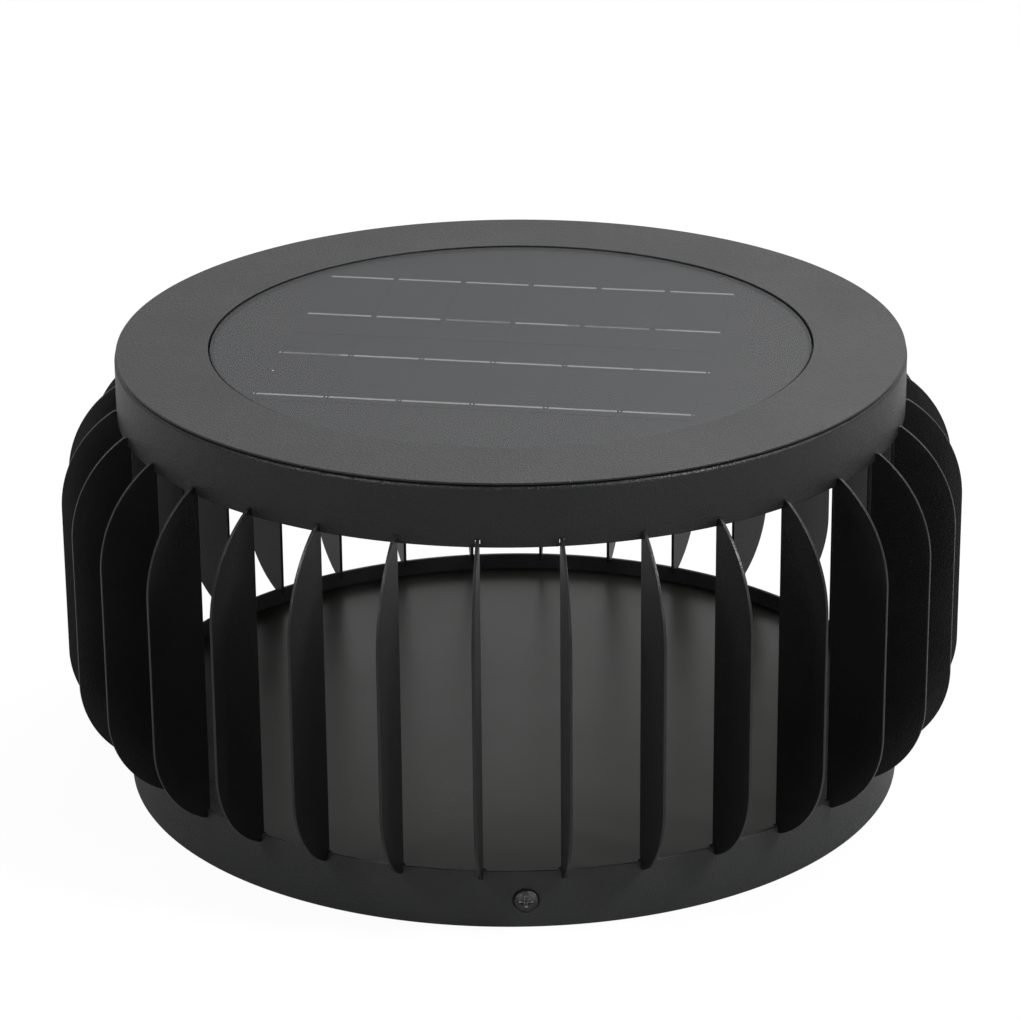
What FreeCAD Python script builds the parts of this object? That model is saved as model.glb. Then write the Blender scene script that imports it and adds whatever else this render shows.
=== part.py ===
import FreeCAD, Part
import math
import os
import re

import Sketcher

# Solar pillar light: a pressed steel base drum and cap drum joined by a cage of flat radial fins.
# The cap holds the solar panel on top and the battery, controller, switch and LEDs inside.
# Millimetres, +Z up, origin at the centre of the underside. The front, with a side screw, is -Y.
# Azimuth is measured about +Z from -Y towards +X.

V = FreeCAD.Vector
UP = V(0, 0, 1)

# ---------------------------------------------------------------- driving dimensions
driving = [
    ("drum_radius", 150, "outer radius of the base and cap drums"),
    ("overall_height", 172, "underside of the base to top of the cap"),
    ("wall", 1.5, "pressed steel sheet"),
    ("base_height", 22.5, "height of the base drum"),
    ("cap_height", 24, "height of the cap drum"),
    ("edge_round", 2.4, "rolled top edge of the cap"),
    ("floor_drop", 6.4, "floor plate below the rim of the base drum"),
    ("fin_count", 32, "flat fins round the cage"),
    ("fin_thick", 1.2, "fin sheet"),
    ("fin_reach", 22.5, "fin beyond the drum wall"),
    ("fin_turn", -0.5, "degrees from the middle between two fins to the front screw"),
    ("fin_corner", 46, "radius of a fin's upper shoulder"),
    ("foot_corner", 38, "radius of a fin's lower shoulder"),
    ("fin_lap", 3, "depth of a fin's end in its slot"),
    ("fin_shoulder", 0.6, "height of the shoulder's start above the slot's floor, at the drum wall"),
    ("slot_gap", 0.3, "clearance on each side of a fin in the cap's slot"),
    ("foot_gap", 0.05, "clearance on each side of a fin in the base's slot"),
    ("screw_count", 3, "side screws round the base"),
    ("screw_drop", 12, "side screws below the rim of the base"),
    ("screw_radius", 2, "M4 side screw"),
    ("screw_head_radius", 4.2, "M4 pan head"),
    ("screw_head_height", 2.4, "M4 pan head"),
    ("screw_reach", 8, "side screw shank below its head"),
    ("screw_gap", 0.25, "side screw in its hole"),
    ("dimple_radius", 5.1, "mouth of the dimple round a side screw"),
    ("dimple_floor", 4.5, "radius of the dimple's floor"),
    ("dimple_depth", 0.8, "dimple below the drum's surface"),
    ("cross_length", 2.6, "half the length of a bar of the screw's cross recess"),
    ("cross_width", 0.6, "half the width of a bar of the screw's cross recess"),
    ("nut_flat", 3.5, "half the width across the flats of an M4 nut"),
    ("nut_thick", 3.2, "M4 nut"),
    ("plate_thick", 2, "mounting plate sheet"),
    ("plate_gap", 2.3, "mounting plate edge to the drum wall"),
    ("plate_bore", 15, "radius of the drain hole in the mounting plate"),
    ("bolt_circle", 100, "radius of the circle of mounting holes"),
    ("bolt_count", 4, "mounting holes"),
    ("bolt_hole", 3.25, "radius of a mounting hole"),
    ("tab_width", 20, "upturned tab of the mounting plate"),
    ("tab_clear", 1.1, "tab to the floor plate above it"),
    ("tab_gap", 0.3, "tab to dimple, and tab to nut"),
    ("tab_play", 0.5, "side screw in the open slot of a tab"),
    ("panel_border", 35.3, "top of the cap round the solar panel"),
    ("panel_recess", 0.5, "cover below the top of the cap"),
    ("panel_gap", 0.7, "panel's edge to the wall of its recess"),
    ("ledge_width", 7.5, "ledge that the panel rests on"),
    ("ledge_depth", 3.5, "ledge below the top of the cap"),
    ("gasket_thick", 0.5, "foam ring under the panel"),
    ("board_thick", 1.4, "backing board of the solar panel"),
    ("cell_thick", 0.2, "solar cell"),
    ("cell_edge", 3.2, "corner cell to the cover's rim, were the block of cells in the middle"),
    ("cell_shift", 3, "block of cells off the middle, along its rows"),
    ("cell_corner", 42, "degrees from the rows to the corner of the block of cells"),
    ("cell_gap", 0.7, "between neighbouring cells of a row"),
    ("row_gap", 1.4, "between the two rows of cells"),
    ("ribbon_thick", 0.1, "tinned ribbon"),
    ("ribbon_width", 1.4, "tinned ribbon"),
    ("ribbon_end", 0.7, "end of a ribbon to the edge of its cell"),
    ("ribbon_edge", 5, "outer ribbon line to the edge of the block of cells"),
    ("panel_turn", 11, "clockwise turn of the cell rows, seen from above"),
    ("cover_rim", 1.2, "rim of the cover, bonded to the backing board"),
    ("underplate_gap", 1.5, "underplate edge to the cap's skirt"),
    ("standoff_count", 6, "standoffs between the ledge and the underplate"),
    ("standoff_radius", 3, "standoff"),
    ("stud_radius", 1.5, "M3 screw"),
    ("stud_reach", 9, "M3 screw shank below its head"),
    ("stud_head_radius", 2.75, "M3 pan head"),
    ("stud_head_height", 1.3, "M3 pan head"),
    ("stud_gap", 0.1, "M3 screw in its hole"),
    ("light_border", 70, "drum's surface to the opening for the diffuser"),
    ("diffuser_gap", 0.5, "diffuser in its opening"),
    ("diffuser_flange", 8, "flange of the diffuser over the underplate"),
    ("diffuser_wall", 2, "opal diffuser"),
    ("diffuser_drop", 3.5, "diffuser below the underplate"),
    ("seal_thick", 0.8, "ring under the diffuser's flange"),
    ("led_board_thick", 1.6, "LED board"),
    ("led_board_border", 4, "LED board beyond its spacers' centres"),
    ("led_lift", 5, "LED board above the underplate"),
    ("led_height", 0.7, "LED"),
    ("led_width", 2.8, "LED across"),
    ("led_length", 3.5, "LED along its ring"),
    ("led_border", 18, "outer ring of LEDs to the edge of the diffuser's opening"),
    ("spacer_radius", 2.5, "LED spacer"),
    ("spacer_gap", 1.5, "LED spacer to the diffuser's flange"),
    ("battery_radius", 9.2, "battery cell"),
    ("battery_length", 65, "battery cell"),
    ("battery_gap", 0.1, "battery cell to the top of the cap"),
    ("nub_radius", 3, "positive nub of a battery cell"),
    ("nub_length", 1.5, "positive nub of a battery cell"),
    ("holder_wall", 1.5, "battery holder side"),
    ("holder_floor", 1, "battery holder floor"),
    ("holder_gap", 0.3, "battery cell to its holder"),
    ("holder_turn", 1.2, "degrees from each battery holder to the middle between them"),
    ("circuit_length", 60, "controller board round the cap"),
    ("circuit_width", 22, "controller board across"),
    ("circuit_thick", 1.6, "controller board"),
    ("circuit_lift", 3, "controller board above the underplate"),
    ("post_radius", 2.5, "post under the controller board"),
    ("plug_height", 6, "lead connectors on the controller board"),
    ("switch_radius", 6, "threaded barrel of the switch"),
    ("switch_height", 11, "barrel above the underplate"),
    ("switch_flange", 1.5, "flange beyond the barrel"),
    ("switch_flange_thick", 1.2, "flange under the underplate"),
    ("switch_lip", 2, "lip that keeps the button in"),
    ("switch_nut_flat", 8.5, "half the width across the flats of the switch nut"),
    ("switch_nut_thick", 2.5, "switch nut"),
    ("button_radius", 4, "button"),
    ("button_proud", 1.5, "button below the flange"),
    ("button_travel", 1.2, "travel of the button"),
    ("button_collar", 0.8, "collar of the button beyond its stem"),
    ("button_gap", 0.3, "button in its bore"),
    ("terminal_height", 5, "switch terminals above the barrel"),
    ("lead_radius", 0.8, "insulated lead"),
    ("lead_pitch", 2.5, "between neighbouring rings of leads"),
    ("lead_gap", 0.05, "solder between a lead's end and what it meets"),
]

# ---------------------------------------------------------------- sizes that follow from them
derived = {
    "drum_inner": "drum_radius - wall",
    "cap_low": "overall_height - cap_height",
    "slot_floor": "base_height - fin_lap",
    "slot_roof": "cap_low + fin_lap",
    "fin_outer": "drum_radius + fin_reach",
    "fin_foot": "drum_radius + 1",
    "fin_sink": "sqrt(fin_corner^2 - (fin_corner - fin_outer + fin_foot)^2)",
    "fin_rise": "sqrt(foot_corner^2 - (foot_corner - fin_outer + fin_foot)^2)",
    "dimple_seat": "drum_radius - dimple_depth",
    "boss_face": "dimple_seat - wall",
    "screw_height": "base_height - screw_drop",
    "boss_radius": "dimple_floor + wall / 2",
    "tab_face": "boss_face - tab_gap",
    "nut_face": "tab_face - plate_thick - tab_gap",
    "plate_radius": "drum_inner - plate_gap",
    "tab_slot": "screw_radius + tab_play",
    "floor_top": "base_height - floor_drop",
    "tab_height": "floor_top - wall - tab_clear",
    "opening": "drum_radius - panel_border",
    "ledge_top": "overall_height - ledge_depth",
    "ledge_inner": "opening - ledge_width",
    "panel_radius": "opening - panel_gap",
    "board_low": "ledge_top + gasket_thick",
    "board_top": "board_low + board_thick",
    "cell_reach": "panel_radius - cover_rim - cell_edge",
    "cell_length": "cell_reach * sin(cell_corner * 1 deg) - row_gap / 2",
    "cell_pitch": "cell_reach * cos(cell_corner * 1 deg) / 3",
    "cell_width": "cell_pitch - cell_gap",
    "ribbon_length": "cell_width - 2 * ribbon_end",
    "ribbon_pitch": "(cell_length + row_gap / 2 - ribbon_edge) / 1.5",
    "cell_top": "board_top + cell_thick",
    "ribbon_top": "cell_top + ribbon_thick",
    "cover_top": "overall_height - panel_recess",
    "under_low": "overall_height - 2 * wall - battery_gap - 2 * battery_radius - holder_floor",
    "under_top": "under_low + wall",
    "standoff_ring": "ledge_inner + standoff_radius + 0.5",
    "light_radius": "drum_radius - light_border",
    "flange_radius": "light_radius + diffuser_flange",
    "flange_low": "under_top + seal_thick",
    "led_outer_ring": "light_radius - led_border",
    "led_inner_ring": "led_outer_ring / 2",
    "spacer_ring": "flange_radius + spacer_gap + spacer_radius",
    "led_board_radius": "spacer_ring + led_board_border",
    "led_board_low": "under_top + led_lift",
    "bay_middle": "(opening + wall + drum_inner) / 2",
    "battery_ring": "bay_middle - 3",
    "battery_height": "under_top + holder_floor + battery_radius",
    "holder_half": "battery_length / 2 + nub_length + holder_gap + holder_wall",
    "holder_side": "battery_radius + holder_gap + holder_wall",
    "battery_spread": "2 * (atan(holder_half / (battery_ring - holder_side)) / (1 deg) + holder_turn)",
    "circuit_low": "under_top + circuit_lift",
    "circuit_top": "circuit_low + circuit_thick",
    "circuit_inner": "bay_middle - circuit_width / 2 - 2.75",
    "lead_height": "circuit_top + plug_height / 2",
    "lead_ring": "led_board_radius + 4",
    "switch_ring": "bay_middle - 8.75",
    "switch_low": "under_low - switch_flange_thick",
    "switch_top": "under_top + switch_height",
    "button_low": "switch_low - button_proud",
    "collar_low": "switch_low + switch_lip + button_gap",
}

aliases = [alias for alias, number, note in driving]
doc = FreeCAD.newDocument("SolarPillarLight")
sheet = doc.addObject("Spreadsheet::Sheet", "Sizes")
for row, (alias, number, note) in enumerate(driving, start=1):
    sheet.set(f"A{row}", note)
    sheet.set(f"B{row}", str(number))
    sheet.setAlias(f"B{row}", alias)
doc.recompute()


# ---------------------------------------------------------------- helpers
def formula(text):
    """Spell a formula of size names out as an expression that reads the sheet."""
    def swap(match):
        word = match.group()
        if word in derived:
            return "(" + formula(derived[word]) + ")"
        return "Sizes." + word if word in aliases else word
    return re.sub(r"[a-z_]+", swap, str(text))


def value(text):
    return float(sheet.evalExpression(formula(text)))


def new_body(name, azimuth=None):
    """A body named after its node, turned about Z to an azimuth given as a formula."""
    body = doc.addObject("PartDesign::Body", name)
    body.Label = name
    if azimuth is not None:
        body.Placement = FreeCAD.Placement(V(0, 0, 0), FreeCAD.Rotation(UP, value(azimuth)))
        body.setExpression("Placement.Rotation.Angle", formula(azimuth))
    return body


def new_sketch(body, plane, shift=("0", "0", "0")):
    """An empty sketch on one of the body's own origin planes, moved in its own axes."""
    sketch = body.newObject("Sketcher::SketchObject", "Sketch")
    support = [feature for feature in body.Origin.OriginFeatures if feature.Role == plane][0]
    sketch.AttachmentSupport = [(support, "")]
    sketch.MapMode = "FlatFace"
    for axis, text in zip("xyz", shift):
        if text != "0":
            sketch.setExpression("AttachmentOffset.Base." + axis, formula(text))
    return sketch


def pin(sketch, geometry, spot, place):
    """Tie a point of the sketch to a pair of formulas."""
    for kind, other_axis, text in (("DistanceX", -2, place[0]), ("DistanceY", -1, place[1])):
        number = value(text)
        if abs(number) < 1e-9:
            sketch.addConstraint(Sketcher.Constraint("PointOnObject", geometry, spot, other_axis))
            continue
        if number > 0:
            index = sketch.addConstraint(Sketcher.Constraint(kind, -1, 1, geometry, spot, number))
            sketch.setExpression(f"Constraints[{index}]", formula(text))
        else:
            index = sketch.addConstraint(Sketcher.Constraint(kind, geometry, spot, -1, 1, -number))
            sketch.setExpression(f"Constraints[{index}]", "-(" + formula(text) + ")")


def outline(sketch, corners, arcs=None):
    """A closed outline through corners, run anticlockwise; arcs give some edges an outward radius."""
    arcs = arcs or {}
    points = [V(value(x), value(y), 0) for x, y in corners]
    first = sketch.GeometryCount
    for index, start in enumerate(points):
        end = points[(index + 1) % len(points)]
        if index not in arcs:
            sketch.addGeometry(Part.LineSegment(start, end))
            continue
        radius = value(arcs[index])
        chord = end - start
        across = V(-chord.y, chord.x, 0).normalize()
        centre = (start + end) / 2 + across * math.sqrt(radius ** 2 - chord.Length ** 2 / 4)
        sketch.addGeometry(Part.Arc(start, centre - across * radius, end))
    for index, corner in enumerate(corners):
        geometry = first + index
        following = first + (index + 1) % len(corners)
        sketch.addConstraint(Sketcher.Constraint("Coincident", geometry, 2, following, 1))
        pin(sketch, geometry, 1, corner)
        if index in arcs:
            radius = sketch.addConstraint(Sketcher.Constraint("Radius", geometry, value(arcs[index])))
            sketch.setExpression(f"Constraints[{radius}]", formula(arcs[index]))
    return sketch


def box_outline(sketch, left, low, right, high):
    return outline(sketch, [(left, low), (right, low), (right, high), (left, high)])


def disc_outline(sketch, x, y, radius):
    """A circle tied to formulas for its centre and radius."""
    circle = sketch.addGeometry(Part.Circle(V(value(x), value(y), 0), UP, value(radius)))
    pin(sketch, circle, 3, (x, y))
    index = sketch.addConstraint(Sketcher.Constraint("Radius", circle, value(radius)))
    sketch.setExpression(f"Constraints[{index}]", formula(radius))
    return sketch


def hexagon(sketch, x, y, half_flat):
    """A hexagon with two flats level."""
    corners = []
    for turn in range(0, 360, 60):
        along = f"{x} + ({half_flat}) * 2 / sqrt(3) * cos({turn} deg)"
        corners.append((along, f"{y} + ({half_flat}) * 2 / sqrt(3) * sin({turn} deg)"))
    return outline(sketch, corners)


def feature(body, kind, sketch, length=None, both_ways=False, reversed_way=False):
    """A pad, pocket, revolution or groove of the sketch; a cut must change the volume."""
    before = body.Shape.Volume if body.Tip else 0
    made = body.newObject("PartDesign::" + kind, kind)
    made.Profile = sketch
    if length is None:
        made.Angle = 360
    else:
        made.setExpression("Length", formula(length))
        if both_ways:
            made.SideType = "Symmetric"
    made.Reversed = reversed_way
    return made, before


def pad(body, sketch, length, both_ways=False, reversed_way=False):
    made = feature(body, "Pad", sketch, length, both_ways, reversed_way)[0]
    doc.recompute()
    return made


def pocket(body, sketch, length, both_ways=False, reversed_way=False):
    made, before = feature(body, "Pocket", sketch, length, both_ways, reversed_way)
    doc.recompute()
    assert made.Shape.Volume < before - 1e-6, "a pocket cut nothing in " + body.Label
    return made


def revolve(body, sketch, axis="V_Axis"):
    made = feature(body, "Revolution", sketch)[0]
    made.ReferenceAxis = (sketch, [axis])
    doc.recompute()
    return made


def groove(body, sketch, axis):
    made, before = feature(body, "Groove", sketch)
    made.ReferenceAxis = (sketch, [axis])
    doc.recompute()
    assert made.Shape.Volume < before - 1e-6, "a groove cut nothing in " + body.Label
    return made


def repeat(body, originals, count, angle="360"):
    """The same features again, evenly round Z."""
    pattern = body.newObject("PartDesign::PolarPattern", "PolarPattern")
    pattern.Originals = originals
    z_axis = [item for item in body.Origin.OriginFeatures if item.Role == "Z_Axis"][0]
    pattern.Axis = (z_axis, [""])
    pattern.setExpression("Angle", formula(angle))
    pattern.setExpression("Occurrences", formula(count))
    body.Tip = pattern
    doc.recompute()
    return pattern


def ring(name, inner, outer, low, high):
    """A flat ring or, with an inner radius of 0, a disc."""
    body = new_body(name)
    revolve(body, box_outline(new_sketch(body, "XZ_Plane"), inner, low, outer, high))
    return body


# ---------------------------------------------------------------- base
def fin_slots(body, low, high, gap):
    """One open slot for each fin, through a drum's wall."""
    sketch = new_sketch(body, "XZ_Plane")
    box_outline(sketch, "drum_inner - 1", low, "drum_radius + 1", high)
    turn = "180 / fin_count + fin_turn - 90"
    sketch.AttachmentOffset = FreeCAD.Placement(V(0, 0, 0), FreeCAD.Rotation(V(0, 1, 0), value(turn)))
    sketch.setExpression("AttachmentOffset.Rotation.Angle", formula(turn))
    slot = pocket(body, sketch, f"fin_thick + 2 * {gap}", both_ways=True)
    repeat(body, [slot], "fin_count")


def make_base_drum():
    """Open steel ring with slots for the fins and a dimple with a hole for each side screw."""
    body = new_body("base_drum")
    revolve(body, box_outline(new_sketch(body, "XZ_Plane"), "drum_inner", "0", "drum_radius", "base_height"))
    fin_slots(body, "slot_floor", "base_height + 1", "foot_gap")
    boss_sketch = new_sketch(body, "XZ_Plane", ("0", "screw_height", "boss_face"))
    boss = pad(body, disc_outline(boss_sketch, "0", "0", "boss_radius"), "wall + dimple_depth / 3")
    dimple_sketch = new_sketch(body, "YZ_Plane", ("0", "screw_height", "0"))
    slope = "(dimple_radius - dimple_floor) / dimple_depth"
    outline(dimple_sketch, [
        ("-(boss_face - 1)", "0"),
        ("-(boss_face - 1)", "screw_radius + screw_gap"),
        ("-dimple_seat", "screw_radius + screw_gap"),
        ("-dimple_seat", "dimple_floor"),
        ("-(drum_radius + 1)", f"dimple_radius + {slope}"),
        ("-(drum_radius + 1)", "0"),
    ])
    dimple = groove(body, dimple_sketch, "H_Axis")
    repeat(body, [boss, dimple], "screw_count")
    return body


def make_mounting_plate():
    """Plate that bolts to the pillar, with upturned slotted tabs for the side screws."""
    body = new_body("mounting_plate")
    disc = new_sketch(body, "XY_Plane")
    disc_outline(disc, "0", "0", "plate_radius")
    disc_outline(disc, "0", "0", "plate_bore")
    pad(body, disc, "plate_thick")
    hole_sketch = disc_outline(new_sketch(body, "XY_Plane"), "bolt_circle", "0", "bolt_hole")
    hole = pocket(body, hole_sketch, "plate_thick", reversed_way=True)
    repeat(body, [hole], "bolt_count")
    tab_sketch = new_sketch(body, "XY_Plane")
    box_outline(tab_sketch, "-tab_width / 2", "-tab_face", "tab_width / 2", "-(tab_face - plate_thick)")
    tab = pad(body, tab_sketch, "tab_height")
    place = ("0", "screw_height", "tab_face + 1")
    seat = pocket(body, disc_outline(new_sketch(body, "XZ_Plane", place), "0", "0", "tab_slot"),
                  "plate_thick + 2")
    mouth_sketch = new_sketch(body, "XZ_Plane", place)
    box_outline(mouth_sketch, "-tab_slot", "0", "tab_slot", "tab_height - screw_height + 1")
    mouth = pocket(body, mouth_sketch, "plate_thick + 2")
    repeat(body, [tab, seat, mouth], "screw_count")
    return body


def make_floor_plate():
    """Flat plate welded inside the base drum, notched round the dimples, seen through the cage."""
    body = ring("floor_plate", "0", "drum_inner", "floor_top - wall", "floor_top")
    sketch = new_sketch(body, "XY_Plane", ("0", "0", "floor_top - wall"))
    box_outline(sketch, "-(boss_radius + tab_gap)", "-(drum_inner + 1)",
                "boss_radius + tab_gap", "-(boss_face - tab_gap)")
    notch = pocket(body, sketch, "wall", reversed_way=True)
    repeat(body, [notch], "screw_count")
    return body


def make_side_screws():
    """M4 pan head screws with a cross recess, radial, heads in the dimples."""
    body = new_body("side_screws")
    sketch = new_sketch(body, "YZ_Plane", ("0", "screw_height", "0"))
    outline(sketch, [
        ("-(dimple_seat - screw_reach)", "0"),
        ("-(dimple_seat - screw_reach)", "screw_radius"),
        ("-dimple_seat", "screw_radius"),
        ("-dimple_seat", "screw_head_radius"),
        ("-(dimple_seat + screw_head_height * 0.4)", "screw_head_radius"),
        ("-(dimple_seat + screw_head_height)", "0"),
    ], {4: "screw_head_radius * 1.5"})
    screw = revolve(body, sketch, "H_Axis")
    cuts = []
    for half_x, half_y in (("cross_length", "cross_width"), ("cross_width", "cross_length")):
        cross = new_sketch(body, "XZ_Plane", ("0", "screw_height", "dimple_seat + screw_head_height + 1"))
        box_outline(cross, f"-{half_x}", f"-{half_y}", half_x, half_y)
        cuts.append(pocket(body, cross, "1 + screw_head_height * 0.6"))
    repeat(body, [screw] + cuts, "screw_count")
    return body


def make_side_nuts():
    """M4 nuts just inside the tabs."""
    body = new_body("side_nuts")
    sketch = new_sketch(body, "XZ_Plane", ("0", "screw_height", "nut_face - nut_thick"))
    hexagon(sketch, "0", "0", "nut_flat")
    disc_outline(sketch, "0", "0", "screw_radius")
    nut = pad(body, sketch, "nut_thick")
    repeat(body, [nut], "screw_count")
    return body


# ---------------------------------------------------------------- cage
def make_fin(number):
    """One flat fin: ends in the drums' slots, straight outer edge between two wide shoulders."""
    body = new_body(f"fin_{number + 1:02d}", f"({number} + 0.5) * 360 / fin_count + fin_turn - 90")
    sketch = outline(new_sketch(body, "XZ_Plane"), [
        ("drum_inner", "slot_floor"),
        ("fin_foot", "slot_floor"),
        ("fin_outer", "slot_floor + fin_shoulder + fin_rise"),
        ("fin_outer", "slot_roof - fin_shoulder - fin_sink"),
        ("fin_foot", "slot_roof"),
        ("drum_inner", "slot_roof"),
    ], {1: "foot_corner", 3: "fin_corner"})
    pad(body, sketch, "fin_thick", both_ways=True)
    return body


# ---------------------------------------------------------------- cap and solar panel
def make_cap_shell():
    """Steel cap: skirt with fin slots, flat top, and a stepped recess with a ledge for the panel."""
    body = new_body("cap_shell")
    outline_sketch = new_sketch(body, "XZ_Plane")
    outline(outline_sketch, [
        ("drum_inner", "cap_low"),
        ("drum_radius", "cap_low"),
        ("drum_radius", "overall_height - edge_round"),
        ("drum_radius - edge_round", "overall_height"),
        ("opening", "overall_height"),
        ("opening", "ledge_top"),
        ("ledge_inner", "ledge_top"),
        ("ledge_inner", "ledge_top - wall"),
        ("opening + wall", "ledge_top - wall"),
        ("opening + wall", "overall_height - wall"),
        ("drum_inner", "overall_height - wall"),
    ], {2: "edge_round"})
    revolve(body, outline_sketch)
    fin_slots(body, "cap_low - 1", "slot_roof", "slot_gap")
    return body


def make_solar_cells():
    """Two rows of six cells on the backing board."""
    body = new_body("solar_cells", "-panel_turn")
    sketch = new_sketch(body, "XY_Plane", ("0", "0", "board_top"))
    for row in (-1, 1):
        for column in range(6):
            middle = f"({column} - 2.5) * cell_pitch - cell_shift"
            near = f"{row} * (row_gap / 2 + cell_length / 2) - cell_length / 2"
            box_outline(sketch, f"{middle} - cell_width / 2", near,
                        f"{middle} + cell_width / 2", f"{near} + cell_length")
    pad(body, sketch, "cell_thick")
    return body


def make_cell_ribbons():
    """Four lines of tinned ribbon, one dash on each cell, two lines to a row of cells."""
    body = new_body("cell_ribbons", "-panel_turn")
    sketch = new_sketch(body, "XY_Plane", ("0", "0", "cell_top"))
    for line in (-1.5, -0.5, 0.5, 1.5):
        for column in range(6):
            middle = f"({column} - 2.5) * cell_pitch - cell_shift"
            near = f"({line}) * ribbon_pitch - ribbon_width / 2"
            box_outline(sketch, f"{middle} - ribbon_length / 2", near,
                        f"{middle} + ribbon_length / 2", f"{near} + ribbon_width")
    pad(body, sketch, "ribbon_thick")
    return body


def make_panel_cover():
    """Satin laminate over the cells, with a rim down to the backing board."""
    body = new_body("panel_cover")
    sketch = outline(new_sketch(body, "XZ_Plane"), [
        ("0", "ribbon_top"),
        ("panel_radius - cover_rim", "ribbon_top"),
        ("panel_radius - cover_rim", "board_top"),
        ("panel_radius", "board_top"),
        ("panel_radius", "cover_top"),
        ("0", "cover_top"),
    ])
    revolve(body, sketch)
    return body


# ---------------------------------------------------------------- inside the cap
def make_underplate():
    """Plate that closes the cap from below, with the light opening and the switch hole."""
    body = new_body("underplate")
    disc = new_sketch(body, "XY_Plane", ("0", "0", "under_low"))
    disc_outline(disc, "0", "0", "drum_inner - underplate_gap")
    disc_outline(disc, "0", "0", "light_radius")
    disc_outline(disc, "switch_ring", "0", "switch_radius + stud_gap")
    pad(body, disc, "wall")
    hole_sketch = new_sketch(body, "XY_Plane", ("0", "0", "under_low"))
    disc_outline(hole_sketch, "0", "-standoff_ring", "stud_radius + stud_gap")
    hole = pocket(body, hole_sketch, "wall", reversed_way=True)
    repeat(body, [hole], "standoff_count")
    return body


def make_underplate_standoffs():
    """Tapped standoffs welded under the ledge."""
    body = new_body("underplate_standoffs")
    sketch = new_sketch(body, "XZ_Plane", ("-standoff_ring", "0", "0"))
    outline(sketch, [
        ("stud_radius", "under_top"),
        ("standoff_radius", "under_top"),
        ("standoff_radius", "ledge_top - wall"),
        ("0", "ledge_top - wall"),
        ("0", "under_low + stud_reach"),
        ("stud_radius", "under_low + stud_reach"),
    ])
    standoff = revolve(body, sketch)
    repeat(body, [standoff], "standoff_count")
    body.Placement = FreeCAD.Placement(V(0, 0, 0), FreeCAD.Rotation(UP, 90))
    return body


def make_underplate_screws():
    """M3 pan head screws up through the underplate into the standoffs."""
    body = new_body("underplate_screws")
    sketch = new_sketch(body, "XZ_Plane", ("-standoff_ring", "0", "0"))
    outline(sketch, [
        ("0", "under_low - stud_head_height"),
        ("stud_head_radius", "under_low - stud_head_height / 2"),
        ("stud_head_radius", "under_low"),
        ("stud_radius", "under_low"),
        ("stud_radius", "under_low + stud_reach"),
        ("0", "under_low + stud_reach"),
    ], {0: "stud_head_radius * 2.5"})
    screw = revolve(body, sketch)
    repeat(body, [screw], "standoff_count")
    body.Placement = FreeCAD.Placement(V(0, 0, 0), FreeCAD.Rotation(UP, 90))
    return body


def make_leds():
    """LEDs under their board, in two rings."""
    body = new_body("leds")
    for ring_radius, count in (("led_inner_ring", 12), ("led_outer_ring", 24)):
        sketch = new_sketch(body, "XY_Plane", ("0", "0", "led_board_low - led_height"))
        box_outline(sketch, f"{ring_radius} - led_width / 2", "-led_length / 2",
                    f"{ring_radius} + led_width / 2", "led_length / 2")
        led = pad(body, sketch, "led_height")
        repeat(body, [led], count)
    return body


def make_led_spacers():
    """Four spacers between the underplate and the LED board."""
    body = new_body("led_spacers", "45")
    sketch = new_sketch(body, "XY_Plane", ("0", "0", "under_top"))
    spacer = pad(body, disc_outline(sketch, "spacer_ring", "0", "spacer_radius"), "led_lift")
    repeat(body, [spacer], 4)
    return body


def make_diffuser():
    """Shallow opal dish through the underplate's opening, flange upwards."""
    body = new_body("diffuser")
    dish = "light_radius - diffuser_gap"
    low = "under_low - diffuser_drop"
    outline_sketch = new_sketch(body, "XZ_Plane")
    outline(outline_sketch, [
        ("0", low),
        (f"{dish} - diffuser_wall", low),
        (dish, f"{low} + diffuser_wall"),
        (dish, "flange_low"),
        ("flange_radius", "flange_low"),
        ("flange_radius", "flange_low + wall"),
        (f"{dish} - diffuser_wall", "flange_low + wall"),
        (f"{dish} - diffuser_wall", f"{low} + diffuser_wall"),
        ("0", f"{low} + diffuser_wall"),
    ], {1: "diffuser_wall"})
    revolve(body, outline_sketch)
    return body


def make_battery_cells():
    """Two round cells lying along the skirt at the back of the cap."""
    body = new_body("battery_cells", "180 - battery_spread / 2")
    sketch = new_sketch(body, "YZ_Plane")
    can = pad(body, disc_outline(sketch, "-battery_ring", "battery_height", "battery_radius"),
              "battery_length", both_ways=True)
    nub_sketch = new_sketch(body, "YZ_Plane", ("0", "0", "battery_length / 2"))
    nub = pad(body, disc_outline(nub_sketch, "-battery_ring", "battery_height", "nub_radius"), "nub_length")
    repeat(body, [can, nub], 2, "battery_spread")
    return body


def make_battery_holder():
    """An open moulded tray for each cell, on the underplate."""
    body = new_body("battery_holder", "180 - battery_spread / 2")
    block_sketch = new_sketch(body, "XY_Plane", ("0", "-battery_ring", "under_top"))
    box_outline(block_sketch, "-holder_half", "-holder_side", "holder_half", "holder_side")
    block = pad(body, block_sketch, "holder_floor + battery_radius")
    tray_sketch = new_sketch(body, "XY_Plane", ("0", "-battery_ring", "under_top + holder_floor"))
    box_outline(tray_sketch, "-(holder_half - holder_wall)", "-(holder_side - holder_wall)",
                "holder_half - holder_wall", "holder_side - holder_wall")
    tray = pocket(body, tray_sketch, "battery_radius + 1", reversed_way=True)
    repeat(body, [block, tray], 2, "battery_spread")
    return body


def make_controller_board():
    """Charge and light controller board at the front of the cap."""
    body = new_body("controller_board")
    sketch = new_sketch(body, "XY_Plane", ("0", "-circuit_inner", "circuit_low"))
    box_outline(sketch, "-circuit_length / 2", "-circuit_width", "circuit_length / 2", "0")
    pad(body, sketch, "circuit_thick")
    return body


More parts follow.
